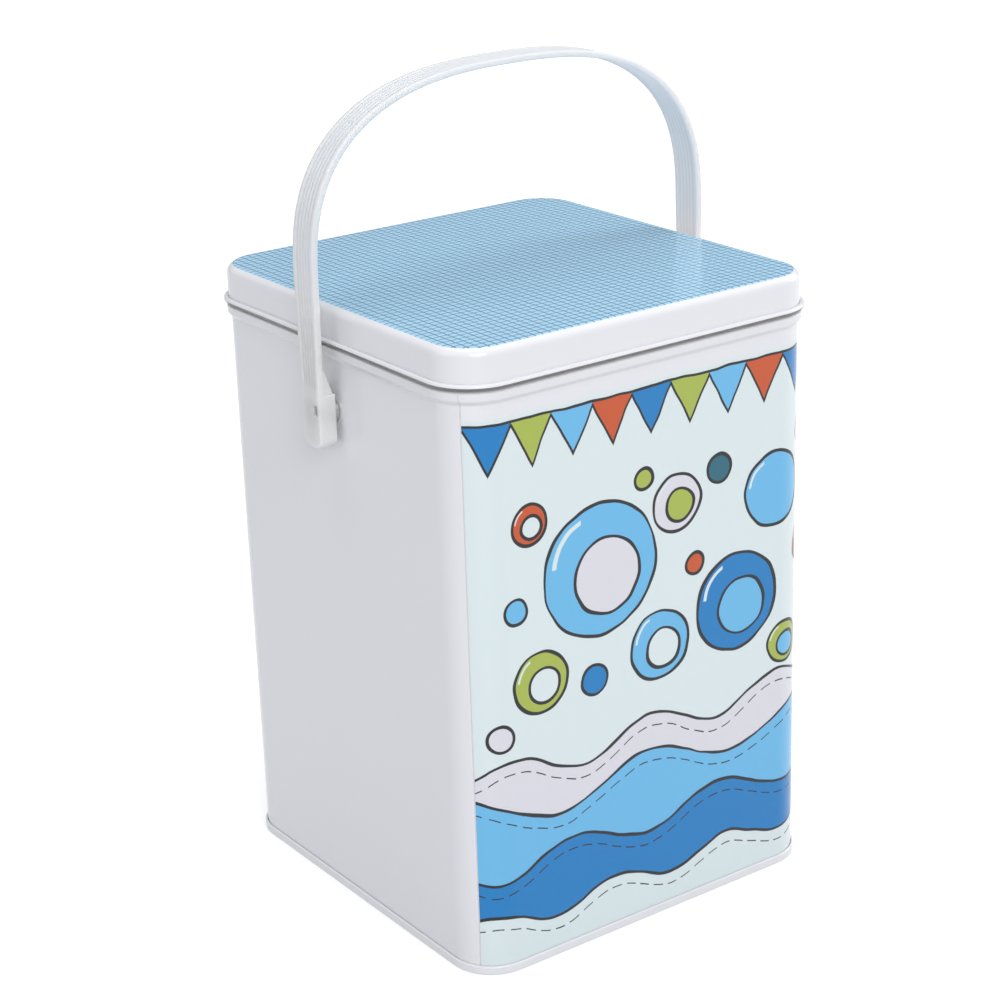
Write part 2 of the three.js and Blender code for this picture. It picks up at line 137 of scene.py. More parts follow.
class TinColours(bpy.types.PropertyGroup):
    """Colours of the lacquer, the print, the plastic and the stage."""

    lacquer: colour("Lacquer", "White lacquer", (0.82, 0.825, 0.85))
    plastic: colour("Plastic", "Undyed translucent plastic", (0.76, 0.76, 0.76))
    # Bare tinplate of the lid's curl, darkened as painted shade for the shadow under the curl.
    bare: colour("Bare tinplate", "Uncoated curl at the lid's edge", (0.2, 0.19, 0.178))
    plated: colour("Plated steel", "Studs and washers", (0.58, 0.58, 0.57))
    ink: colour("Ink", "Dark outlines of the print", (0.008, 0.009, 0.011))
    ground: colour("Print ground", "Pale ground of the front print", (0.73, 0.825, 0.83))
    lilac: colour("Print lilac", "Pale lilac-grey of the print", (0.74, 0.73, 0.79))
    sky: colour("Print sky blue", "Light blue of the print", (0.15, 0.5, 0.82))
    deep: colour("Print deep blue", "Strong blue of the print", (0.0, 0.205, 0.54))
    lime: colour("Print lime", "Yellow-green of the print", (0.4, 0.49, 0.075))
    orange: colour("Print orange", "Orange-red of the print", (0.6, 0.09, 0.018))
    teal: colour("Print teal", "Dark teal of the print", (0.012, 0.13, 0.19))
    lid_blue: colour("Lid blue", "Ground of the lid's print", (0.4, 0.7, 0.92))
    lid_line: colour("Lid lines", "Lines of the lid's grid", (0.004, 0.05, 0.12))
    floor: colour("Floor", "Plain pale floor", (0.62, 0.62, 0.63))


def clamp(value):
    """A value kept between 0 and 1."""
    return min(1.0, max(0.0, value))


def darker(base, share):
    """A colour taken down to a share of its brightness."""
    return tuple(part * share for part in base)


def go_to(mode):
    """Goes into edit mode or object mode."""
    bpy.ops.object.mode_set(mode=mode)


def deselect_all():
    """Leaves object mode with nothing selected."""
    if bpy.context.object and bpy.context.object.mode != "OBJECT":
        go_to("OBJECT")
    bpy.ops.object.select_all(action="DESELECT")


def make_active(piece):
    """Selects one piece and nothing else."""
    deselect_all()
    piece.select_set(True)
    bpy.context.view_layer.objects.active = piece


def pick(piece, kind, test):
    """Goes into edit mode with only those vertices, edges or faces selected whose corners pass a test."""
    make_active(piece)
    go_to("EDIT")
    bpy.ops.mesh.select_mode(type=kind)
    bpy.ops.mesh.select_all(action="DESELECT")
    go_to("OBJECT")
    points = piece.data.vertices
    if kind == "VERT":
        for point in points:
            point.select = test([point.co])
    else:
        for part in (piece.data.edges if kind == "EDGE" else piece.data.polygons):
            part.select = test([points[i].co for i in part.vertices])
    go_to("EDIT")


def arc(centre, radius, start, end, steps):
    """Points on an arc in a flat section. Angles are in degrees from the first axis towards the second."""
    turns = [radians(start + (end - start) * i / steps) for i in range(steps + 1)]
    return [(centre[0] + radius * cos(t), centre[1] + radius * sin(t)) for t in turns]


def slope(start, end, steps):
    """Points of a smooth S from one place in a flat section to another, upright at both ends."""
    share = [i / steps for i in range(steps + 1)]
    return [
        (start[0] + (end[0] - start[0]) * s * s * (3 - 2 * s), start[1] + (end[1] - start[1]) * s)
        for s in share
    ]


def draw_section(name, points, place):
    """Draws a section by extruding one vertex from point to point, and leaves it selected in edit mode."""
    corners = [place(*p) for p in points]
    deselect_all()
    bpy.ops.mesh.primitive_plane_add(size=MM, location=corners[0])
    piece = bpy.context.object
    piece.name = piece.data.name = name
    bpy.ops.object.transform_apply()
    go_to("EDIT")
    bpy.ops.mesh.select_mode(type="VERT")
    bpy.ops.mesh.merge(type="CENTER")
    for here, there in zip(corners, corners[1:]):
        if (there - here).length > HAIR:
            bpy.ops.mesh.extrude_vertices_move(TRANSFORM_OT_translate={"value": there - here})
    bpy.ops.mesh.select_all(action="SELECT")
    return piece


def spin_on(centre, turn, axis=(0, 0, 1), step=5.625):
    """Spins what is selected on by a turn in degrees, anticlockwise about an axis."""
    bpy.ops.mesh.spin(steps=max(1, ceil(abs(turn) / step)), angle=-radians(turn), center=centre, axis=axis)


def push(*offset):
    """Extrudes what is selected by an offset."""
    bpy.ops.mesh.extrude_region_move(TRANSFORM_OT_translate={"value": offset})


def weld():
    """Welds the last section of a full sweep to the first."""
    bpy.ops.mesh.select_all(action="SELECT")
    bpy.ops.mesh.remove_doubles(threshold=WELD)


def face_outwards(piece):
    """Leaves edit mode with the skin's faces looking away from the middle of the tin, on balance."""
    middle = Vector((0, 0, wall_high.z / 2))
    bpy.ops.mesh.select_all(action="SELECT")
    bpy.ops.mesh.normals_make_consistent(inside=False)
    go_to("OBJECT")
    looking_out = sum((f.center - middle).normalized().dot(f.normal) * f.area for f in piece.data.polygons)
    if looking_out < 0:
        go_to("EDIT")
        bpy.ops.mesh.select_all(action="SELECT")
        bpy.ops.mesh.flip_normals()
        go_to("OBJECT")


class Girth:
    """The way round the tin's wall: where its corners turn, and how far along it a place is."""

    # Where on the front left corner the side seam is, in degrees anticlockwise from the tin's right.
    SEAM = 219.5

    def __init__(self, sizes):
        self.radius = sizes.corner
        self.half_x = wall_high.x - sizes.bead_reach
        self.half_y = wall_high.y - sizes.bead_reach
        self.flat_x = 2 * (self.half_x - self.radius)
        self.flat_y = 2 * (self.half_y - self.radius)
        across, deep = self.flat_x / 2, self.flat_y / 2
        self.front_left = Vector((-across, -deep, 0))
        self.front_right = Vector((across, -deep, 0))
        self.back_right = Vector((across, deep, 0))
        self.back_left = Vector((-across, deep, 0))

    def at_seam(self, out, height):
        """A place at the side seam, standing out from the wall's outer face, at a height."""
        seam = radians(self.SEAM)
        reach = self.radius + out
        return self.front_left + Vector((reach * cos(seam), reach * sin(seam), height))

    def sweep_front(self):
        """Sweeps a section from the side seam over the front and round the front right corner."""
        spin_on(self.front_left, 270 - self.SEAM)
        push(self.flat_x, 0, 0)
        spin_on(self.front_right, 90)

    def sweep_back(self, last_turn):
        """Sweeps a section on from the front right corner round the back to the front left corner."""
        push(0, self.flat_y, 0)
        spin_on(self.back_right, 90)
        push(-self.flat_x, 0, 0)
        spin_on(self.back_left, 90)
        push(0, -self.flat_y, 0)
        spin_on(self.front_left, last_turn)

    def sweep_round(self, piece, panel_height):
        """Sweeps a section all the way round, and closes it with a flat panel at a height."""
        self.sweep_front()
        self.sweep_back(self.SEAM - 180)
        weld()
        pick(piece, "VERT", lambda corners: abs(corners[0].z - panel_height) < HAIR)
        bpy.ops.mesh.edge_face_add()
        face_outwards(piece)

    def along(self, place):
        """How far a place on the front or its corners is from the side seam, along the wall."""
        first = self.radius * radians(270 - self.SEAM)
        if place.x < self.front_left.x:
            off = place - self.front_left
            return first - self.radius * Vector((0, -1)).angle(Vector((off.x, off.y)))
        if place.x > self.front_right.x:
            off = place - self.front_right
            return first + self.flat_x + self.radius * Vector((0, -1)).angle(Vector((off.x, off.y)))
        return first + place.x - self.front_left.x


def add_modifier(piece, kind, **settings):
    """Adds a modifier with these settings and applies it."""
    make_active(piece)
    modifier = piece.modifiers.new(kind.title(), kind)
    for key, value in settings.items():
        setattr(modifier, key, value)
    bpy.ops.object.modifier_apply(modifier=modifier.name)


def thicken(piece, thickness):
    """Gives a skin its sheet thickness, towards its inside."""
    add_modifier(piece, "SOLIDIFY", thickness=thickness, offset=-1, use_even_offset=True, use_rim=True)


def combine(piece, operation, other):
    """Joins another piece to this one, or cuts it out of this one. The other piece is then deleted."""
    add_modifier(piece, "BOOLEAN", operation=operation, solver="EXACT", object=other)
    bpy.data.objects.remove(other)


def bar(name, radius, start, end):
    """A round bar along X at the pivot's height."""
    deselect_all()
    middle = ((start + end) / 2, 0, PIVOT.z)
    bpy.ops.mesh.primitive_cylinder_add(
        vertices=48, radius=radius, depth=abs(end - start), location=middle, rotation=(0, pi / 2, 0)
    )
    made = bpy.context.object
    made.name = name
    bpy.ops.object.transform_apply()
    return made


def block(name, middle, size):
    """A block of a size round its middle."""
    deselect_all()
    bpy.ops.mesh.primitive_cube_add(size=1, location=middle)
    made = bpy.context.object
    made.name = name
    made.scale = size
    bpy.ops.object.transform_apply()
    return made


def smooth(piece, angle=32.0):
    """Shades a piece smooth but at its sharp edges, with its big flat faces kept flat."""
    make_active(piece)
    bpy.ops.object.shade_smooth_by_angle(angle=radians(angle))
    add_modifier(piece, "WEIGHTED_NORMAL", weight=60, keep_sharp=True)


def settle(piece, body, slot, *replaced):
    """Puts a finished piece on its body and hides the nodes that it stands for. The slot of its finish is
    not used.
    """
    if not piece.data.polygons:
        raise RuntimeError(f"{piece.name} has no faces")
    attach(piece, body)
    if replaced:
        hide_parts(*replaced)


class Finish:
    """A material that is put together node by node."""

    # The sockets of a Mix node that hold its two colours, and the one that gives their mixture.
    UNDER, OVER, MIXED = 6, 7, 2

    def __init__(self, name, **shader):
        self.material = bpy.data.materials.new(name)
        self.material.use_nodes = True
        self.tree = self.material.node_tree
        self.shader = self.tree.nodes["Principled BSDF"]
        for key, value in shader.items():
            self.shader.inputs[key.replace("_", " ")].default_value = value

    def node(self, kind, *values, **settings):
        """Adds a node. A value is a number, a vector or another node's output."""
        made = self.tree.nodes.new(f"ShaderNode{kind}")
        for key, value in settings.items():
            setattr(made, key, value)
        for socket, value in zip(made.inputs, values):
            if isinstance(value, bpy.types.NodeSocket):
                self.tree.links.new(value, socket)
            else:
                socket.default_value = value
        return made

    def math(self, operation, *values):
        """A sum with numbers."""
        return self.node("Math", *values, operation=operation).outputs[0]

    def vector(self, operation, *values):
        """A sum with places."""
        return self.node("VectorMath", *values, operation=operation).outputs[0]

    def ramp(self, value, low, high, first=0.0, last=1.0):
        """Goes evenly from a first result to a last one as a value goes from low to high."""
        return self.node("MapRange", value, low, high, first, last, clamp=True).outputs[0]

    def mix(self, share, under, over):
        """One colour over another, where share is 1."""
        made = self.tree.nodes.new("ShaderNodeMix")
        made.data_type = "RGBA"
        sockets = (made.inputs["Factor"], made.inputs[self.UNDER], made.inputs[self.OVER])
        for socket, value in zip(sockets, (share, under, over)):
            if isinstance(value, bpy.types.NodeSocket):
                self.tree.links.new(value, socket)
            else:
                socket.default_value = (*value, 1) if hasattr(value, "__len__") else value
        return made.outputs[self.MIXED]

    def uneven(self, tone, base, share):
        """A colour that goes down to a share of itself where a tone is 0."""
        return self.mix(tone, darker(base, share), tuple(base))

    def noise(self, place, scale, detail=2.0):
        """Noise that follows a place. The node's outputs are a number and a colour."""
        made = self.tree.nodes.new("ShaderNodeTexNoise")
        self.tree.links.new(place, made.inputs["Vector"])
        made.inputs["Scale"].default_value = scale
        made.inputs["Detail"].default_value = detail
        return made

    def object_place(self):
        """The place on the piece, in its own frame."""
        return self.tree.nodes.new("ShaderNodeTexCoord").outputs["Object"]

    def use(self, value, socket):
        """Feeds a value to the shader."""
        self.tree.links.new(value, self.shader.inputs[socket])

    def roughen(self, tone, least, more):
        """Sets the roughness, from its least to so much more as a tone goes from 0 to 1."""
        self.use(self.math("MULTIPLY_ADD", tone, more, least), "Roughness")

    def bump(self, height, strength, distance):
        """Makes the surface uneven."""
        made = self.tree.nodes.new("ShaderNodeBump")
        made.inputs["Strength"].default_value = strength
        made.inputs["Distance"].default_value = distance
        self.tree.links.new(height, made.inputs["Height"])
        self.use(made.outputs["Normal"], "Normal")


class Lacquer(Finish):
    """Glossy lacquer on tinplate, with the faint waviness of a rolled sheet."""

    def __init__(self, name, base):
        super().__init__(
            name, Roughness=0.26, Specular_IOR_Level=0.32, Coat_Weight=0.35, Coat_Roughness=0.03
        )
        place = self.object_place()
        tone = self.noise(place, scale=14.0).outputs[0]
        self.use(self.uneven(tone, base, share=0.975), "Base Color")
        skin = self.noise(place, scale=55.0, detail=1.0).outputs[0]
        self.bump(skin, strength=0.12, distance=0.4 * MM)


def metal_finish(name, base, roughness):
    """Bare or plated tinplate with fine rolling lines, which are long and level."""
    finish = Finish(name, Metallic=1.0)
    squeeze = (60.0, 60.0, 900.0)
    level = finish.vector("MULTIPLY", finish.object_place(), squeeze)
    lines = finish.noise(level, scale=4.0, detail=3.0).outputs[0]
    finish.use(finish.uneven(lines, base, share=0.86), "Base Color")
    finish.roughen(lines, least=roughness, more=0.12)
    finish.bump(lines, strength=0.1, distance=0.2 * MM)
    return finish.material


def plastic_finish(base):
    """Undyed translucent plastic, softly glossy, a little uneven in tone, with painted shade in the strap's
    grooves.
    """
    finish = Finish(
        "undyed_plastic",
        IOR=1.49,
        Subsurface_Weight=0.9,
        Subsurface_Radius=(1.0, 1.0, 1.1),
        Subsurface_Scale=8 * MM,
    )
    place = finish.object_place()
    cloud = finish.noise(place, scale=40.0).outputs[0]
    body = finish.uneven(cloud, base, share=0.94)
    # Painted shade: the colour is darkened in the strap's grooves between its ribs, by the attribute marked
    # on the strap.
    thin = finish.node("Attribute", attribute_name="groove").outputs["Fac"]
    finish.use(finish.mix(thin, body, darker(base, 0.86)), "Base Color")
    grain = finish.noise(place, scale=900.0).outputs[0]
    finish.roughen(grain, least=0.3, more=0.12)
    finish.bump(grain, strength=0.08, distance=0.2 * MM)
    return finish.material


# The lid's print: the spacing and width of its grid lines, how far they waver, how soft their edges
# are, and how strongly they cover the ground.
GRID_PITCH = 3.74 * MM
GRID_LINE = 0.5 * MM
GRID_WAVER = 0.5 * MM
GRID_SOFT = 0.22 * MM
GRID_COVER = 0.9


def lid_print_finish(colours):
    """A graph-paper grid in darker blue on a light blue ground, with hand-ruled, slightly uneven lines."""
    finish = Lacquer("lid_print_lacquer", colours.lacquer)
    place = finish.object_place()
    waver = finish.noise(place, scale=260.0, detail=1.0).outputs[1]
    shift = finish.vector("MULTIPLY_ADD", waver, (GRID_WAVER, GRID_WAVER, 0.0), place)
    across = finish.node("SeparateXYZ", shift).outputs
    lines = []
    for axis in (0, 1):
        cell = finish.math("PINGPONG", across[axis], GRID_PITCH / 2)
        far = finish.math("SUBTRACT", cell, GRID_LINE / 2)
        lines.append(finish.math("MULTIPLY", far, -1 / GRID_SOFT))
    nearest = finish.math("MAXIMUM", *lines)
    share = finish.node("Clamp", finish.math("ADD", nearest, 0.5)).outputs[0]
    weight = finish.math("MULTIPLY", share, GRID_COVER)
    blotch = finish.noise(place, scale=22.0).outputs[0]
    ground = finish.uneven(blotch, colours.lid_blue, share=0.94)
    finish.use(finish.mix(weight, ground, tuple(colours.lid_line)), "Base Color")
    return finish.material


class FrontPrint(Lacquer):
    """The front's print, built up from fields of colour with dark outlines. Its places are along the
    wall from the side seam, and up from the floor."""

    # How far the drawing wavers, how soft the edges of its fields are, and half of an outline's width:
    # its least, and the most that the hand adds.
    WAVER = 2.4 * MM
    SOFT = 0.12 * MM
    HALF_LINE, HALF_LINE_MORE = 0.225 * MM, 1.05 * MM

    # The line that the flags hang from, half the width of such ruled lines, and where the print's
    # ground turns to plain lacquer above it.
    TOP_LINE = 251.5 * MM
    HALF_RULE = 0.55 * MM
    FADE_START, FADE_END = 1.0 * MM, 4.0 * MM

    # Each bubble in millimetres: how far along, how high, its radius, then its colour, and the colour
    # of a smaller disc in it.
    BUBBLES = (
        (66, 176, 30, "sky", "lilac"),
        (142, 141, 23, "deep", "sky"),
        (108, 196, 13, "lilac", "lime"),
        (164, 189, 17, "sky", None),
        (33, 133, 14, "lime", "ground"),
        (98, 132, 16, "sky", "ground"),
        (187, 158, 9, "orange", None),
        (29, 205, 9, "orange", "ground"),
        (132, 206, 6.5, "teal", None),
        (62, 126, 7, "deep", None),
        (188, 212, 8, "lilac", None),
        (171, 113, 10, "lime", "sky"),
        (21, 168, 5.5, "sky", None),
        (118, 165, 5, "orange", None),
        (90, 211, 4.5, "lime", None),
        (196, 129, 4, "teal", None),
        (12, 112, 6, "lilac", None),
    )

    # A bubble's inner disc, as shares of its radius: how far it is set down and to the right, and its size.
    CORE_ASIDE, CORE = 0.12, 0.58

    # A bubble's highlight, on those of more than a least radius in millimetres. It is part of a ring,
    # as shares of the bubble's radius: how far the ring is set up and to the left, its radius and half
    # its width, and how far to the left and how high the highlight starts.
    LEAST_SHINY = 8
    SHINE_ASIDE, SHINE, SHINE_HALF = 0.1, 0.73, 0.035
    SHINE_LEFT, SHINE_UP = 0.35, 0.2

    # Each wave: its mean height, rise and length in millimetres, where it starts in radians, and the
    # colour below it.
    WAVES = (
        (94, 6.5, 74, 0.0, "lilac"),
        (76, 7.5, 96, 1.9, "sky"),
        (49, 6.0, 82, 4.1, "deep"),
        (23, 4.5, 64, 0.8, "ground"),
    )

    # The dashes below each crest: how far below, half their width, and half their spacing and half
    # their length.
    DASH_BELOW, DASH_HALF = 6.0 * MM, 0.3 * MM
    DASH_HALF_PITCH, DASH_HALF_LENGTH = 4.0 * MM, 2.6 * MM

    # The flags: their width, how far they hang, how far below the line their hem starts, and the share
    # that makes a height below the hem a distance from it.
    FLAG_LENGTH, FLAG_DROP = 21.0 * MM, 19.0 * MM
    FLAG_START, FLAG_SLANT = 1.5 * MM, 0.5
    FLAG_COLOURS = ("deep", "lime", "sky", "orange")

    # How near a count has to be to a whole number to be that number.
    SAME = 0.3

    def __init__(self, colours):
        super().__init__("front_print_lacquer", colours.lacquer)
        self.colours = colours
        sheet = self.node("UVMap", uv_map="sheet").outputs[0]
        waver = self.noise(sheet, scale=60.0, detail=1.0).outputs[1]
        centred = self.vector("SUBTRACT", waver, (0.5, 0.5, 0.5))
        drift = self.vector("MULTIPLY", centred, (self.WAVER, self.WAVER, 0.0))
        self.place = self.vector("ADD", sheet, drift)
        parts = self.node("SeparateXYZ", self.place).outputs
        self.along, self.up = parts[0], parts[1]
        width = self.noise(sheet, scale=45.0, detail=1.0).outputs[0]
        self.half_line = self.math("MULTIPLY_ADD", width, self.HALF_LINE_MORE, self.HALF_LINE)
        self.painted = tuple(colours.ground)
        self.waves()
        self.bubbles()
        self.flags()
        self.top_edge()
        self.use(self.painted, "Base Color")

    def paint(self, share, shade):
        """Lays a colour over what is painted so far."""
        self.painted = self.mix(share, self.painted, tuple(getattr(self.colours, shade)))

    def inside(self, distance):
        """1 where a distance is below zero, with a soft edge."""
        return self.ramp(distance, self.SOFT, -self.SOFT)

    def rule(self, distance, half_width):
        """Inks a line of a width where a distance is zero."""
        edge = self.math("SUBTRACT", self.math("ABSOLUTE", distance), half_width)
        self.paint(self.inside(edge), "ink")

    def field(self, distance, shade):
        """Paints where a distance is below zero, and inks its edge."""
        self.paint(self.inside(distance), shade)
        self.rule(distance, self.half_line)

    def far_from(self, along, up):
        """How far the print is from a place given in millimetres."""
        centre = (along * MM, up * MM, 0.0)
        return self.node("VectorMath", self.place, centre, operation="DISTANCE").outputs["Value"]

    def disc(self, along, up, radius, shade):
        """A round field, given in millimetres."""
        self.field(self.math("SUBTRACT", self.far_from(along, up), radius * MM), shade)

    def waves(self):
        """Bands of water across the foot of the front, each with a dashed line below its crest."""
        for height, rise, crest, start, shade in self.WAVES:
            turn = self.math("MULTIPLY_ADD", self.along, 2 * pi / (crest * MM), start)
            swell = self.math("MULTIPLY_ADD", self.math("SINE", turn), rise * MM, height * MM)
            depth = self.math("SUBTRACT", self.up, swell)
            self.field(depth, shade)
            below = self.math("ABSOLUTE", self.math("ADD", depth, self.DASH_BELOW))
            thin = self.math("SUBTRACT", below, self.DASH_HALF)
            beat = self.math("PINGPONG", self.along, self.DASH_HALF_PITCH)
            dash = self.math("SUBTRACT", beat, self.DASH_HALF_LENGTH)
            self.paint(self.inside(self.math("MAXIMUM", thin, dash)), "ink")

    def bubbles(self):
        """Round bubbles, some with a smaller disc in them and a curved highlight."""
        for along, up, radius, shade, core in self.BUBBLES:
            self.disc(along, up, radius, shade)
            if core:
                aside = self.CORE_ASIDE * radius
                self.disc(along + aside, up - aside, self.CORE * radius, core)
            if radius > self.LEAST_SHINY:
                self.highlight(along, up, radius)

    def highlight(self, along, up, radius):
        """The curved highlight at the upper left of a bubble given in millimetres."""
        aside = self.SHINE_ASIDE * radius
        far = self.far_from(along - aside, up + aside)
        ring = self.math("ABSOLUTE", self.math("SUBTRACT", far, self.SHINE * radius * MM))
        band = self.math("SUBTRACT", ring, self.SHINE_HALF * radius * MM)
        left = self.math("SUBTRACT", self.along, (along - self.SHINE_LEFT * radius) * MM)
        low = self.math("SUBTRACT", (up + self.SHINE_UP * radius) * MM, self.up)
        arc_only = self.math("MAXIMUM", band, self.math("MAXIMUM", left, low))
        self.paint(self.inside(arc_only), "ground")

    def flags(self):
        """A row of hanging flags below the top line, in colours that take turns."""
        hem = self.math("PINGPONG", self.along, self.FLAG_LENGTH / 2)
        drop = self.math("MULTIPLY", hem, -2 * self.FLAG_DROP / self.FLAG_LENGTH)
        point = self.math("ADD", drop, self.TOP_LINE - self.FLAG_START)
        below = self.math("MULTIPLY", self.math("SUBTRACT", point, self.up), self.FLAG_SLANT)
        above = self.math("SUBTRACT", self.up, self.TOP_LINE)
        distance = self.math("MAXIMUM", below, above)
        count = self.math("FLOOR", self.math("DIVIDE", self.along, self.FLAG_LENGTH))
        turn = self.math("FLOORED_MODULO", count, float(len(self.FLAG_COLOURS)))
        inside = self.inside(distance)
        for number, shade in enumerate(self.FLAG_COLOURS):
            same = self.math("COMPARE", turn, float(number), self.SAME)
            self.paint(self.math("MULTIPLY", inside, same), shade)
        self.rule(distance, self.HALF_RULE)

    def top_edge(self):
        """The line that the flags hang from, and plain lacquer above it."""
        self.rule(self.math("SUBTRACT", self.up, self.TOP_LINE), self.HALF_RULE)
        start, end = self.TOP_LINE + self.FADE_START, self.TOP_LINE + self.FADE_END
        self.paint(self.ramp(self.up, start, end), "lacquer")


class TIN_OT_wall(bpy.types.Operator):
    """Models the wall: one sheet with a hook, a bead, a curled rim and a lapped side seam"""

    bl_idname = "tin.wall"
    bl_label = "Wall"

    # The step that takes the sheet behind its own front edge: where it starts, as a turn before the
    # edge in degrees, its length, and the space that it leaves between the two.
    STEP_TURN = 1.6
    STEP_LENGTH = 0.12 * MM
    STEP_SPACE = 0.1 * MM

    # How far the cutter of a stud's hole reaches in and out from the wall.
    CUTTER_REACH = 5 * MM

    def execute(self, context):
        sizes, colours = context.scene.tin_sizes, context.scene.tin_colours
        girth = Girth(sizes)
        hook_bottom = 2 * sizes.sheet + 1.5 * sizes.gap
        hook_top = sizes.seam_height - sizes.sheet - sizes.gap - sizes.hook_spare
        bead_top = lid_low.z - sizes.gap
        bead_low = bead_top - sizes.bead_height
        rim = sizes.rim_curl
        points = [
            (sizes.gap, hook_top),
            *arc((sizes.gap / 2, hook_bottom), sizes.gap / 2, 0, -180, 6),
            *slope((0, bead_low), (sizes.bead_reach, bead_low + sizes.bead_foot), 8),
            *slope((sizes.bead_reach, bead_top - sizes.bead_top), (0, bead_top), 8),
            *arc((-rim, wall_high.z - rim), rim, 0, 270, 18),
        ]
        wall = draw_section("tin_wall", points, girth.at_seam)
        girth.sweep_front()
        girth.sweep_back(girth.SEAM - self.STEP_TURN - 180)
        self.step_behind(girth, sizes)
        face_outwards(wall)
        thicken(wall, sizes.sheet)
        hole = context.scene.handle_sizes.shank + sizes.gap
        inner, outer = girth.half_x - self.CUTTER_REACH, girth.half_x + self.CUTTER_REACH
        for side in (-1, 1):
            combine(wall, "DIFFERENCE", bar("hole_cutter", hole, side * inner, side * outer))
        wall.data.materials.append(Lacquer("wall_lacquer", colours.lacquer).material)
        smooth(wall)
        settle(wall, "tin", "white_lacquer", "body_wall")
        return {"FINISHED"}

    def step_behind(self, girth, sizes):
        """Steps the sheet in by a little more than its thickness, and runs it on behind its front edge."""
        here = radians(girth.SEAM - self.STEP_TURN)
        ahead = Vector((-sin(here), cos(here), 0)) * self.STEP_LENGTH
        inward = Vector((cos(here), sin(here), 0)) * -(sizes.sheet + self.STEP_SPACE)
        push(*(ahead + inward))
        spin_on(girth.front_left, degrees(sizes.lap / girth.radius) + self.STEP_TURN, step=2.0)


class TIN_OT_bottom(bpy.types.Operator):
    """Models the bottom end: a recessed panel with its edge rolled round the wall's hook"""

    bl_idname = "tin.bottom"
    bl_label = "Bottom end"

    def execute(self, context):
        sizes, colours = context.scene.tin_sizes, context.scene.tin_colours
        girth = Girth(sizes)
        inside = -(2 * sizes.sheet + sizes.gap)
        outside = 2 * (sizes.sheet + sizes.gap)
        edge = sizes.sheet + sizes.gap
        bend = sizes.base_bend
        points = [
            *arc((inside - bend, sizes.recess - bend), bend, 90, 0, 6),
            *arc((inside + edge, edge), edge, 180, 270, 6),
            *arc((outside - edge, edge), edge, -90, 0, 6),
            *arc((outside - edge, sizes.seam_height - edge), edge, 0, 90, 6),
            (sizes.gap, sizes.seam_height),
        ]
        bottom = draw_section("tin_bottom", points, girth.at_seam)
        girth.sweep_round(bottom, sizes.recess)
        thicken(bottom, sizes.sheet)
        bottom.data.materials.append(Lacquer("bottom_lacquer", colours.lacquer).material)
        smooth(bottom)
        settle(bottom, "tin", "white_lacquer", "bottom_end")
        return {"FINISHED"}


class TIN_OT_lid(bpy.types.Operator):
    """Models the lid: a panel with a rounded shoulder, a skirt and a bare curled edge darkened as painted
    shade, and its print
    """

    bl_idname = "tin.lid"
    bl_label = "Lid"

    # The curl runs from the skirt down, out, up and back to the skirt, between these turns in degrees.
    CURL_START, CURL_END = 180, 495

    # The curl's underside is bare tinplate whose colour is darkened as painted shade, from this share of
    # its radius below its middle, where it stands out this far from the skirt, and how rough it is there.
    SHADED_BARE_BELOW = 0.1
    SHADED_BARE_OUT = 0.05 * MM
    BARE_ROUGHNESS = 0.22

    # How far the print runs on round the shoulder, in degrees.
    PRINT_TURN = 18

    def execute(self, context):
        sizes, colours = context.scene.tin_sizes, context.scene.tin_colours
        girth = Girth(sizes)
        skirt = sizes.gap + sizes.lid_slack + sizes.sheet
        in_curl = sizes.lid_curl - sizes.sheet
        curl_height = lid_low.z + sizes.lid_curl
        shoulder_centre = (skirt - sizes.shoulder, lid_high.z - sizes.shoulder)
        points = [
            *arc(shoulder_centre, sizes.shoulder, 90, 0, 12),
            *arc((skirt + in_curl, curl_height), in_curl, self.CURL_START, self.CURL_END, 28),
        ]
        lid = draw_section("tin_lid", points, girth.at_seam)
        girth.sweep_round(lid, lid_high.z)
        thicken(lid, sizes.sheet)
        lid.data.materials.append(Lacquer("lid_lacquer", colours.lacquer).material)
        lid.data.materials.append(metal_finish("lid_bare_edge", colours.bare, self.BARE_ROUGHNESS))
        # Painted shade: faces of the curl below this height that stand off the skirt get the dark
        # bare-metal colour.
        shaded_bare_top = curl_height - self.SHADED_BARE_BELOW * in_curl
        for face in lid.data.polygons:
            if face.center.z < shaded_bare_top and self.off_skirt(girth, face.center, skirt):
                face.material_index = 1
        smooth(lid)
        settle(lid, "lid", "white_lacquer", "lid")
        self.make_print(girth, sizes, colours, shoulder_centre)
        return {"FINISHED"}

    def off_skirt(self, girth, co, skirt):
        """Whether a place stands out past the skirt's outer face."""
        past_x, past_y = abs(co.x) - girth.flat_x / 2, abs(co.y) - girth.flat_y / 2
        out = hypot(max(past_x, 0), max(past_y, 0)) - girth.radius
        return out > skirt + self.SHADED_BARE_OUT

    def make_print(self, girth, sizes, colours, shoulder_centre):
        """Lays the lid's print on its panel, as a film over the sheet."""
        points = arc(shoulder_centre, sizes.shoulder + FILM / 2, 90 - self.PRINT_TURN, 90, 4)
        printed = draw_section("lid_print", points, girth.at_seam)
        girth.sweep_round(printed, lid_high.z + FILM / 2)
        thicken(printed, FILM)
        printed.data.materials.append(lid_print_finish(colours))
        smooth(printed)
        settle(printed, "lid", "printed_lacquer")


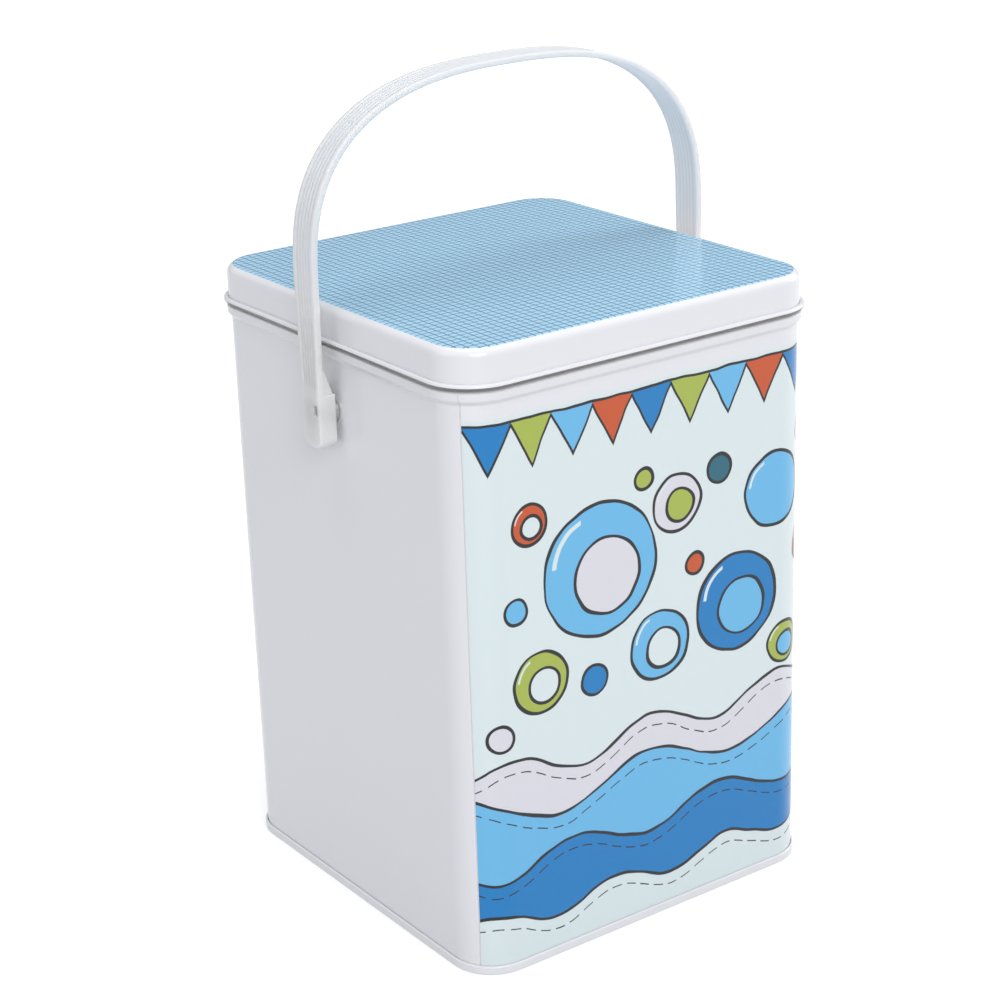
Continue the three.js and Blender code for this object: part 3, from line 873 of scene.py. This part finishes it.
class TIN_OT_front_print(bpy.types.Operator):
    """Lays the front's print on the wall as a film, from the side seam round the front right corner"""

    bl_idname = "tin.front_print"
    bl_label = "Front print"

    # How far the film stays below the bead and above the rolled seam.
    TOP_SPACE = 1.5 * MM
    FOOT_SPACE = 0.2 * MM

    def execute(self, context):
        sizes, colours = context.scene.tin_sizes, context.scene.tin_colours
        girth = Girth(sizes)
        top = lid_low.z - sizes.gap - sizes.bead_height - self.TOP_SPACE
        bottom = sizes.seam_height + self.FOOT_SPACE
        printed = draw_section("front_print", [(FILM / 2, bottom), (FILM / 2, top)], girth.at_seam)
        girth.sweep_front()
        face_outwards(printed)
        thicken(printed, FILM)
        sheet = printed.data.uv_layers.new(name="sheet")
        for corner in printed.data.loops:
            place = printed.data.vertices[corner.vertex_index].co
            sheet.data[corner.index].uv = (girth.along(place), place.z)
        printed.data.materials.append(FrontPrint(colours).material)
        smooth(printed)
        settle(printed, "tin", "white_lacquer")
        return {"FINISHED"}


class TIN_OT_handle(bpy.types.Operator):
    """Models the handle: a ribbed strap bent in an arch, with a socketed boss at each end"""

    bl_idname = "tin.handle"
    bl_label = "Handle"

    # The arch is a superellipse of this power, in this many steps. Each leg has rows at these shares
    # of its height, close together where its ribs fade.
    FULLNESS = 2.58
    ARCH_STEPS = 72
    LEG_STEPS = (0, 0.014, 0.06, 0.12, 0.25, 0.5, 0.75, 1)

    # The strap's width in columns, the ones that ribs and rims raise on its outer face, the width of
    # the rims on its inner face, and how far its edges are drawn in to round them.
    COLUMNS = 28
    RAISED = (0, 1, 2, 3, 4, 8, 12, 16, 20, 24, 25, 26, 27, 28)
    INNER_RIM = 3
    EDGE_ROUND = 0.35 * MM

    # The height over which the grooves fade out above a boss, the share of it at the foot where they
    # are filled up, and how far inside the rims they are filled.
    FADE = 4 * MM
    FADE_FULL = 0.3
    RIM_SPACE = 0.5 * MM

    # Half the width of a rib's flat top, in columns.
    RIB_HALF = 0.1

    # The wedge runs into the strap, and stays this many rib heights in from its outer and inner faces.
    OUTER_COVER, INNER_COVER = 2, 0.6

    # The small window through the boss's outer face: its size, and how far its middle is from the pivot.
    WINDOW_WIDTH, WINDOW_HEIGHT = 2.8 * MM, 4.4 * MM
    WINDOW_ASIDE, WINDOW_UP = 3.8 * MM, 2.2 * MM

    # The plastic is shaded smooth over edges up to this angle in degrees.
    SHARP_ANGLE = 38.0

    def places(self, sizes):
        """Where the strap's outer face runs, from the right boss over the arch to the left one: X, Z,
        the turn of the strap in radians and the share of its width there."""
        outer = handle_high.x
        foot = PIVOT.z + sizes.boss_top - sizes.boss_edge
        spring = lid_high.z + sizes.straight
        rise = handle_high.z - spring
        narrow = sizes.boss_width / sizes.width
        leg = [
            (outer, foot + (spring - foot) * share, 0.0, narrow + (1 - narrow) * share)
            for share in self.LEG_STEPS
        ]
        arch = []
        power = 2 / self.FULLNESS
        for i in range(1, self.ARCH_STEPS):
            turn = pi * i / self.ARCH_STEPS
            sign = 1 if turn < pi / 2 else -1
            x, z = sign * abs(cos(turn)) ** power, sin(turn) ** power
            slope_x = sign * abs(x) ** (self.FULLNESS - 1) / outer
            slope_z = z ** (self.FULLNESS - 1) / rise
            lean = Vector((1, 0)).angle(Vector((slope_x, slope_z)))
            arch.append((outer * x, spring + rise * z, lean, 1.0))
        other = [(-x, z, pi, width) for x, z, _, width in reversed(leg)]
        return leg + arch + other

    def strap(self, sizes):
        """The strap: its ribbed section extruded step by step along the arch."""
        places = self.places(sizes)
        x, z, _, share = places[0]
        strap = self.strap_section(sizes, x, z)
        go_to("EDIT")
        bpy.ops.mesh.select_all(action="SELECT")
        bpy.ops.transform.resize(value=(1, share, 1), center_override=(x, 0, z))
        for here, there in zip(places, places[1:]):
            push(there[0] - here[0], 0, there[1] - here[1])
            outer_point = (there[0], 0, there[1])
            bpy.ops.transform.rotate(
                value=there[2] - here[2], orient_axis="Y", center_override=outer_point
            )
            wider = there[3] / here[3]
            bpy.ops.transform.resize(value=(1, wider, 1), center_override=outer_point)
        bpy.ops.mesh.select_all(action="SELECT")
        bpy.ops.mesh.normals_make_consistent(inside=False)
        go_to("OBJECT")
        add_modifier(strap, "SUBSURF", levels=1, render_levels=1)
        self.fade_ribs(strap, z, sizes)
        return strap

    def strap_section(self, sizes, x, z):
        """The strap's flat section at its right foot, with ribs and rims."""
        deselect_all()
        bpy.ops.mesh.primitive_grid_add(
            x_subdivisions=2, y_subdivisions=self.COLUMNS, size=1, location=(0, 0, 0)
        )
        strap = bpy.context.object
        strap.name = strap.data.name = "strap_handle"
        strap.scale = (sizes.thickness, sizes.width, 1)
        strap.location = (x - sizes.thickness / 2, 0, z)
        bpy.ops.object.transform_apply()
        pitch = sizes.width / self.COLUMNS
        for vertex in strap.data.vertices:
            column = round((vertex.co.y + sizes.width / 2) / pitch)
            outer_row = vertex.co.x > x - HAIR
            inner_row = vertex.co.x < x - sizes.thickness + HAIR
            if outer_row and column not in self.RAISED:
                vertex.co.x -= sizes.rib
            if inner_row and self.INNER_RIM < column < self.COLUMNS - self.INNER_RIM:
                vertex.co.x += sizes.rib
            if (outer_row or inner_row) and column in (0, self.COLUMNS):
                vertex.co.x += -self.EDGE_ROUND if outer_row else self.EDGE_ROUND
        return strap

    def fade_ribs(self, strap, foot, sizes):
        """Fills the grooves of the outer face step by step towards the bosses."""
        outer = handle_high.x
        for vertex in strap.data.vertices:
            fill = clamp(1 + self.FADE_FULL - (vertex.co.z - foot) / self.FADE)
            inside_rims = abs(vertex.co.y) < sizes.boss_width / 2 - self.RIM_SPACE
            if abs(vertex.co.x) > outer - 2 * sizes.rib and inside_rims:
                side = 1 if vertex.co.x > 0 else -1
                vertex.co.x += side * (outer - abs(vertex.co.x)) * fill

    def boss(self, sizes):
        """The boss at the right end: a block with round lower corners that tapers up into the strap."""
        outer = handle_high.x
        inner = outer - sizes.boss_thickness
        low, high = PIVOT.z - sizes.boss_bottom, PIVOT.z + sizes.boss_top
        middle = ((inner + outer) / 2, 0, (low + high) / 2)
        boss = block("boss", middle, (sizes.boss_thickness, sizes.boss_width, high - low))
        pick(boss, "EDGE", lambda e: max(e[0].z, e[1].z) < low + HAIR and abs(e[0].x - e[1].x) > HAIR)
        bpy.ops.mesh.bevel(offset=sizes.boss_corner, segments=8, affect="EDGES")
        go_to("OBJECT")
        rounding = {"width": sizes.boss_edge, "segments": 4}
        add_modifier(boss, "BEVEL", limit_method="ANGLE", angle_limit=radians(50), **rounding)
        return boss

    def wedge(self, sizes):
        """The taper above the right boss, from its inner face out to the strap."""
        edge = sizes.boss_edge
        outer = handle_high.x - self.OUTER_COVER * sizes.rib
        inner = handle_high.x - sizes.boss_thickness + edge
        low, high = PIVOT.z, PIVOT.z + sizes.boss_top - edge
        half = sizes.boss_width / 2 - edge
        middle = ((inner + outer) / 2, 0, (low + high) / 2)
        wedge = block("wedge", middle, (outer - inner, 2 * half, high - low))
        pick(wedge, "FACE", lambda corners: min(corner.z for corner in corners) > high - HAIR)
        push(0, 0, sizes.boss_taper + edge)
        strap_inner = handle_high.x - sizes.thickness + self.INNER_COVER * sizes.rib
        thin = (outer - strap_inner) / (outer - inner)
        bpy.ops.transform.resize(value=(thin, 1, 1), center_override=(outer, 0, high))
        pick(wedge, "EDGE", lambda e: max(e[0].x, e[1].x) < outer - HAIR and abs(e[0].y - e[1].y) < HAIR)
        bpy.ops.mesh.bevel(offset=edge, segments=3, affect="EDGES")
        go_to("OBJECT")
        return wedge

    def paint_groove_shade(self, handle, sizes):
        """Marks the strap's grooves between its ribs, where the plastic's colour is darkened as painted
        shade.
        """
        foot = PIVOT.z + sizes.boss_top
        spring = lid_high.z + sizes.straight
        narrow = sizes.boss_width / sizes.width
        ribs = [abs(column - self.COLUMNS / 2) for column in self.RAISED]
        groove = handle.data.attributes.new("groove", "FLOAT", "POINT")
        for vertex in handle.data.vertices:
            up = clamp((vertex.co.z - foot) / (spring - foot))
            half = sizes.width * (narrow + (1 - narrow) * up) / 2
            column = abs(vertex.co.y) / half * self.COLUMNS / 2
            depth = clamp(min(abs(column - rib) for rib in ribs) - self.RIB_HALF)
            groove.data[vertex.index].value = depth * clamp((vertex.co.z - foot) / self.FADE)

    @staticmethod
    def turned(piece):
        """A copy of a piece at the handle's other end, half a turn round."""
        copy = piece.copy()
        copy.data = piece.data.copy()
        bpy.context.scene.collection.objects.link(copy)
        copy.data.transform(Matrix.Rotation(pi, 4, "Z"))
        return copy

    def window(self, sizes):
        """The cutter for the small window through the boss's outer face."""
        depth = sizes.end_wall + 2 * OVERRUN
        middle = (handle_high.x + OVERRUN - depth / 2, self.WINDOW_ASIDE, PIVOT.z + self.WINDOW_UP)
        return block("window_cutter", middle, (depth, self.WINDOW_WIDTH, self.WINDOW_HEIGHT))

    def execute(self, context):
        sizes = context.scene.handle_sizes
        handle = self.strap(sizes)
        inner = handle_high.x - sizes.boss_thickness
        lip_end = inner + sizes.lip
        added = [self.boss(sizes), self.wedge(sizes)]
        cutters = [
            bar("mouth_cutter", sizes.neck + sizes.neck_play, inner - OVERRUN, lip_end + OVERRUN),
            bar("socket_cutter", sizes.socket, lip_end, handle_high.x - sizes.end_wall),
            self.window(sizes),
        ]
        for piece in [*added, *map(self.turned, added)]:
            combine(handle, "UNION", piece)
        for cutter in [*cutters, *map(self.turned, cutters)]:
            combine(handle, "DIFFERENCE", cutter)
        self.paint_groove_shade(handle, sizes)
        handle.data.materials.clear()
        handle.data.materials.append(plastic_finish(context.scene.tin_colours.plastic))
        smooth(handle, self.SHARP_ANGLE)
        settle(handle, "handle", "natural_plastic", "handle")
        return {"FINISHED"}


class TIN_OT_studs(bpy.types.Operator):
    """Turns the stud and the washer on each side of the tin"""

    bl_idname = "tin.studs"
    bl_label = "Studs and washers"

    # The chamfers of the stud's head and of the washer, the ring on the flat of the stud's inner head
    # as a share of its radius, and how rough the plating is.
    HEAD_CHAMFER = 0.8 * MM
    WASHER_CHAMFER = 0.2 * MM
    INNER_RING = 0.35
    ROUGHNESS = 0.25

    @staticmethod
    def turn(name, points, side):
        """Turns a section, given as distance out from the wall and radius, about the pivot's axis."""
        wall = Girth(bpy.context.scene.tin_sizes).half_x

        def place(out, reach):
            return Vector((side * (wall + out), 0, PIVOT.z + reach))

        piece = draw_section(name, points, place)
        spin_on(PIVOT, 360, axis=(1, 0, 0), step=7.5)
        weld()
        bpy.ops.mesh.normals_make_consistent(inside=False)
        go_to("OBJECT")
        return piece

    def execute(self, context):
        sizes, tin = context.scene.handle_sizes, context.scene.tin_sizes
        plated = metal_finish("plated_steel", context.scene.tin_colours.plated, self.ROUGHNESS)
        behind = tin.sheet + tin.gap
        washer_back = behind + sizes.washer_height
        rivet_face = washer_back + tin.gap
        rivet_end = -rivet_face - sizes.rivet_height
        standoff = handle_high.x - sizes.boss_thickness - Girth(tin).half_x
        head_start = standoff + sizes.lip + tin.gap
        head_end = standoff + sizes.boss_thickness - sizes.end_wall - sizes.head_play
        stud = [
            (rivet_end, 0),
            (rivet_end, sizes.rivet * self.INNER_RING),
            *arc((-rivet_face, sizes.rivet - sizes.rivet_height), sizes.rivet_height, 180, 90, 6),
            (-rivet_face, sizes.shank),
            (tin.gap, sizes.shank),
            (tin.gap, sizes.collar),
            (standoff - tin.gap, sizes.collar),
            (standoff - tin.gap, sizes.neck),
            (head_start, sizes.neck),
            (head_start, sizes.head),
            (head_end - self.HEAD_CHAMFER, sizes.head),
            (head_end, sizes.head - self.HEAD_CHAMFER),
            (head_end, 0),
        ]
        bore = sizes.shank + tin.gap
        chamfer = self.WASHER_CHAMFER
        washer = [
            (-washer_back, bore),
            (-washer_back, sizes.washer - chamfer),
            (-washer_back + chamfer, sizes.washer),
            (-behind - chamfer, sizes.washer),
            (-behind, sizes.washer - chamfer),
            (-behind, bore),
            (-washer_back, bore),
        ]
        for word, side in (("left", -1), ("right", 1)):
            for kind, points in (("stud", stud), ("stud_washer", washer)):
                piece = self.turn(f"{word}_{kind}", points, side)
                piece.data.materials.append(plated)
                smooth(piece)
                settle(piece, "tin", "plated_steel", f"{kind}_{word}")
        return {"FINISHED"}


class TIN_OT_stage(bpy.types.Operator):
    """Makes the floor, the studio light, the world and the camera"""

    bl_idname = "tin.stage"
    bl_label = "Stage"

    # Where the camera stands: round from the front and up, its roll, its distance from what it looks at,
    # and where that lies to the right of the tin's foot and above it, as the camera sees it.
    AZIMUTH, ELEVATION, ROLL = -35.35, 20.54, -1.85
    DISTANCE, ASIDE, ABOVE = 1.1718, -0.007, 0.1621
    LENS, SENSOR = 86.93, 36.0

    # Each lamp: its name, where it stands, how wide and how high it is, and its power in watts. All of
    # them point at one place.
    LAMPS = (
        ("key", (-1.05, -2.65, 1.9), 1.8, 1.8, 56.0),
        ("side", (-2.9, 0.3, 1.5), 1.4, 1.8, 10.0),
        ("fill", (2.8, -0.3, 1.3), 1.6, 1.6, 34.0),
        ("top", (0.1, 0.3, 3.0), 2.2, 2.2, 39.0),
    )
    LAMP_AIM = Vector((0, 0, 0.17))

    # The world lights the tin with this colour and strength, and shows white.
    WORLD_LIGHT = (0.93, 0.95, 1.0, 1)
    WORLD_STRENGTH = 0.36
    WHITE = (1, 1, 1, 1)

    # The floor's width, and the glow that takes it to white: its strength up to one distance from the
    # tin, and from another on.
    FLOOR_WIDTH = 24
    GLOW_NEAR, GLOW_FAR = 0.7, 3.0
    GLOW_LEAST, GLOW_MOST = 0.46, 0.84

    def execute(self, context):
        self.camera(context)
        self.floor(context.scene.tin_colours.floor)
        for name, place, wide, high, power in self.LAMPS:
            self.lamp(name, Vector(place), wide, high, power)
        self.world(context)
        context.scene.view_settings.view_transform = "Standard"
        return {"FINISHED"}

    def camera(self, context):
        """Stands the camera where the photo was taken from."""
        azimuth, elevation, roll = map(radians, (self.AZIMUTH, self.ELEVATION, self.ROLL))
        flat = cos(elevation)
        back = Vector((sin(azimuth) * flat, -cos(azimuth) * flat, sin(elevation)))
        right = Vector((0, 0, 1)).cross(back).normalized()
        up = back.cross(right)
        lens = bpy.data.cameras.new("camera")
        lens.lens, lens.sensor_width = self.LENS, self.SENSOR
        lens.sensor_fit = "AUTO"
        camera = bpy.data.objects.new("camera", lens)
        context.scene.collection.objects.link(camera)
        tilted_right = right * cos(roll) + up * sin(roll)
        tilted_up = up * cos(roll) - right * sin(roll)
        turn = Matrix((tilted_right, tilted_up, back)).transposed().to_4x4()
        stand = right * self.ASIDE + up * self.ABOVE + back * self.DISTANCE
        camera.matrix_world = Matrix.Translation(stand) @ turn
        context.scene.camera = camera

    def floor(self, base):
        """Lays the floor, which glows only for what looks at it and lights nothing."""
        deselect_all()
        bpy.ops.mesh.primitive_plane_add(size=self.FLOOR_WIDTH, location=(0, 0, 0))
        floor = bpy.context.object
        floor.name = "floor"
        finish = Finish("pale_floor", Roughness=0.9, Specular_IOR_Level=0.2)
        place = finish.object_place()
        tone = finish.noise(place, scale=3.0).outputs[0]
        finish.use(finish.uneven(tone, base, share=0.985), "Base Color")
        light = finish.node("LightPath").outputs
        seen = finish.math("MAXIMUM", light["Is Camera Ray"], light["Is Glossy Ray"])
        seen = finish.math("MAXIMUM", seen, light["Is Transmission Ray"])
        finish.use(finish.mix(seen, (0.0, 0.0, 0.0), (1.0, 1.0, 1.0)), "Emission Color")
        away = finish.node("VectorMath", place, operation="LENGTH").outputs["Value"]
        glow = finish.ramp(away, self.GLOW_NEAR, self.GLOW_FAR, self.GLOW_LEAST, self.GLOW_MOST)
        finish.use(glow, "Emission Strength")
        floor.data.materials.append(finish.material)

    def lamp(self, name, place, wide, high, power):
        """Stands a flat lamp at a place, and points it at the tin."""
        light = bpy.data.lights.new(name, "AREA")
        light.shape = "RECTANGLE"
        light.size, light.size_y = wide, high
        light.energy = power
        lamp = bpy.data.objects.new(name, light)
        bpy.context.scene.collection.objects.link(lamp)
        turn = (self.LAMP_AIM - place).to_track_quat("-Z", "Y")
        lamp.matrix_world = Matrix.Translation(place) @ turn.to_matrix().to_4x4()

    def world(self, context):
        """Makes the world: soft light from all round, white where the camera sees it."""
        world = bpy.data.worlds.new("studio")
        context.scene.world = world
        world.use_nodes = True
        nodes, links = world.node_tree.nodes, world.node_tree.links
        nodes.clear()
        kinds = ("OutputWorld", "Background", "Background", "MixShader", "LightPath")
        out, light, shown, mix, path = (nodes.new(f"ShaderNode{kind}") for kind in kinds)
        light.inputs["Color"].default_value = self.WORLD_LIGHT
        light.inputs["Strength"].default_value = self.WORLD_STRENGTH
        shown.inputs["Color"].default_value = self.WHITE
        sources = (path.outputs["Is Camera Ray"], light.outputs[0], shown.outputs[0])
        for source, socket in zip(sources, mix.inputs):
            links.new(source, socket)
        links.new(mix.outputs[0], out.inputs[0])


class TIN_PT_sidebar(bpy.types.Panel):
    """Lists the tin's pieces, sizes and colours"""

    bl_idname = "TIN_PT_sidebar"
    bl_label = "Laundry powder tin"
    bl_space_type = "VIEW_3D"
    bl_region_type = "UI"
    bl_category = "Tin"

    def draw(self, context):
        for step in STEPS:
            self.layout.operator(step.bl_idname)
        for group in (context.scene.tin_sizes, context.scene.handle_sizes, context.scene.tin_colours):
            box = self.layout.box()
            for name in type(group).__annotations__:
                box.prop(group, name)


STEPS = (
    TIN_OT_stage,
    TIN_OT_wall,
    TIN_OT_bottom,
    TIN_OT_lid,
    TIN_OT_front_print,
    TIN_OT_handle,
    TIN_OT_studs,
)
GROUPS = {"tin_sizes": TinSizes, "handle_sizes": HandleSizes, "tin_colours": TinColours}


def register():
    """Registers the sizes, the colours, the operators and the panel."""
    for kind in (*GROUPS.values(), *STEPS, TIN_PT_sidebar):
        bpy.utils.register_class(kind)
    for name, group in GROUPS.items():
        setattr(bpy.types.Scene, name, bpy.props.PointerProperty(type=group))


def unregister():
    """Takes back all that register does."""
    for name in GROUPS:
        delattr(bpy.types.Scene, name)
    for kind in (TIN_PT_sidebar, *reversed(STEPS), *reversed(list(GROUPS.values()))):
        bpy.utils.unregister_class(kind)


def main():
    """Makes the tin and its stage, step by step."""
    register()
    for step in STEPS:
        group, name = step.bl_idname.split(".")
        getattr(getattr(bpy.ops, group), name)()


if __name__ == "__main__":
    main()
